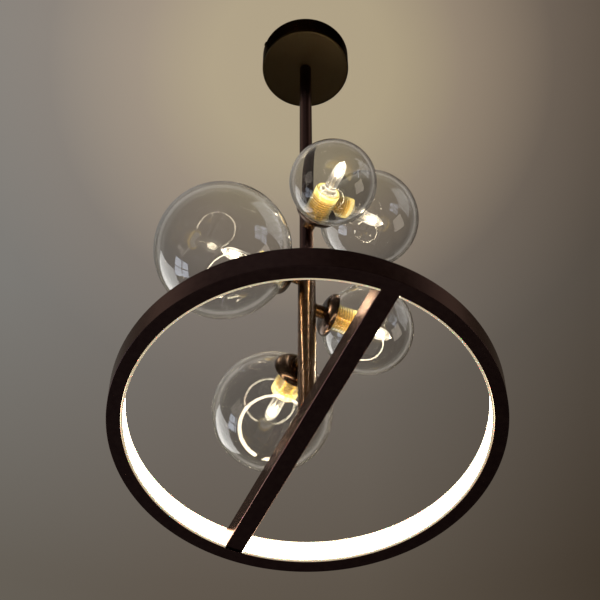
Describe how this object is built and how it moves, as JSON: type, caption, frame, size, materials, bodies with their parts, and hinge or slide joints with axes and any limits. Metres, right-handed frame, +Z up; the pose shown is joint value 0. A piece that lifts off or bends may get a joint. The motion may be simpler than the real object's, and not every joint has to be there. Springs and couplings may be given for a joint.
{
  "type": "orb chandelier",
  "caption": "Ceiling light: round canopy, rod and stem, clear glass globes on short arms turned four ways, and a lit ring carried below on a cross bar.",
  "frame": {"origin": "centre of the ceiling strap's top face, in the ceiling plane, on the axis of the stem", "axes": "+Z up along the stem, +Y along the cross bar, towards the lowest globe"},
  "size_m": [0.402, 0.402, 0.79],
  "materials": {
    "black_paint": "satin",
    "black_bronze": "gloss",
    "steel": "zinc plated",
    "white_plastic": "matt",
    "gold_anodised": "gold anodised",
    "silicone": "matt",
    "led_board": "matt",
    "opal_diffuser": "opal",
    "bulb_glass": "clear",
    "clear_glass": "clear"
  },
  "bodies": {
    "fixture": {"ceiling_strap": "steel", "canopy_cup": "black_paint", "canopy_screw_left": "black_paint", "canopy_screw_right": "black_paint", "led_driver": "white_plastic", "terminal_block": "white_plastic", "rod_top_nipple": "steel", "rod_top_nut": "steel", "upper_rod": "black_paint", "rod_coupler": "black_bronze", "lower_stem": "black_bronze", "stem_nipple": "steel", "stem_nut": "steel", "cross_bar": "black_paint", "ring_housing": "black_paint", "bar_plug_back": "steel", "bar_plug_front": "steel", "ring_screw_back": "black_paint", "ring_screw_front": "black_paint", "led_strip_left": "led_board", "led_strip_right": "led_board", "diffuser_left": "opal_diffuser", "diffuser_right": "opal_diffuser", "arm_1": "black_bronze", "dish_1": "black_bronze", "lamp_holder_1": "gold_anodised", "gasket_1": "silicone", "arm_2": "black_bronze", "dish_2": "black_bronze", "lamp_holder_2": "gold_anodised", "gasket_2": "silicone", "arm_3": "black_bronze", "dish_3": "black_bronze", "lamp_holder_3": "gold_anodised", "gasket_3": "silicone", "arm_4": "black_bronze", "dish_4": "black_bronze", "lamp_holder_4": "gold_anodised", "gasket_4": "silicone", "arm_5": "black_bronze", "dish_5": "black_bronze", "lamp_holder_5": "gold_anodised", "gasket_5": "silicone"},
    "lamp_1_globe": {"globe_1": "clear_glass", "globe_neck_1": "clear_glass"},
    "lamp_1_bulb": {"bulb_1": "bulb_glass"},
    "lamp_2_globe": {"globe_2": "clear_glass", "globe_neck_2": "clear_glass"},
    "lamp_2_bulb": {"bulb_2": "bulb_glass"},
    "lamp_3_globe": {"globe_3": "clear_glass", "globe_neck_3": "clear_glass"},
    "lamp_3_bulb": {"bulb_3": "bulb_glass"},
    "lamp_4_globe": {"globe_4": "clear_glass", "globe_neck_4": "clear_glass"},
    "lamp_4_bulb": {"bulb_4": "bulb_glass"},
    "lamp_5_globe": {"globe_5": "clear_glass", "globe_neck_5": "clear_glass"},
    "lamp_5_bulb": {"bulb_5": "bulb_glass"}
  },
  "joints": [
    {"name": "globe_1_off", "type": "slide", "parent": "fixture", "child": "lamp_1_globe", "axis": [0, 1, 0], "range_m": [0, 0.085]},
    {"name": "bulb_1_out", "type": "slide", "parent": "fixture", "child": "lamp_1_bulb", "axis": [0, 1, 0], "range_m": [0, 0.012]},
    {"name": "globe_2_off", "type": "slide", "parent": "fixture", "child": "lamp_2_globe", "axis": [1, 0, 0], "range_m": [0, 0.085]},
    {"name": "bulb_2_out", "type": "slide", "parent": "fixture", "child": "lamp_2_bulb", "axis": [1, 0, 0], "range_m": [0, 0.012]},
    {"name": "globe_3_off", "type": "slide", "parent": "fixture", "child": "lamp_3_globe", "axis": [-1, 0, 0], "range_m": [0, 0.085]},
    {"name": "bulb_3_out", "type": "slide", "parent": "fixture", "child": "lamp_3_bulb", "axis": [-1, 0, 0], "range_m": [0, 0.012]},
    {"name": "globe_4_off", "type": "slide", "parent": "fixture", "child": "lamp_4_globe", "axis": [0, -1, 0], "range_m": [0, 0.085]},
    {"name": "bulb_4_out", "type": "slide", "parent": "fixture", "child": "lamp_4_bulb", "axis": [0, -1, 0], "range_m": [0, 0.012]},
    {"name": "globe_5_off", "type": "slide", "parent": "fixture", "child": "lamp_5_globe", "axis": [1, 0, 0], "range_m": [0, 0.085]},
    {"name": "bulb_5_out", "type": "slide", "parent": "fixture", "child": "lamp_5_bulb", "axis": [1, 0, 0], "range_m": [0, 0.012]}
  ]
}
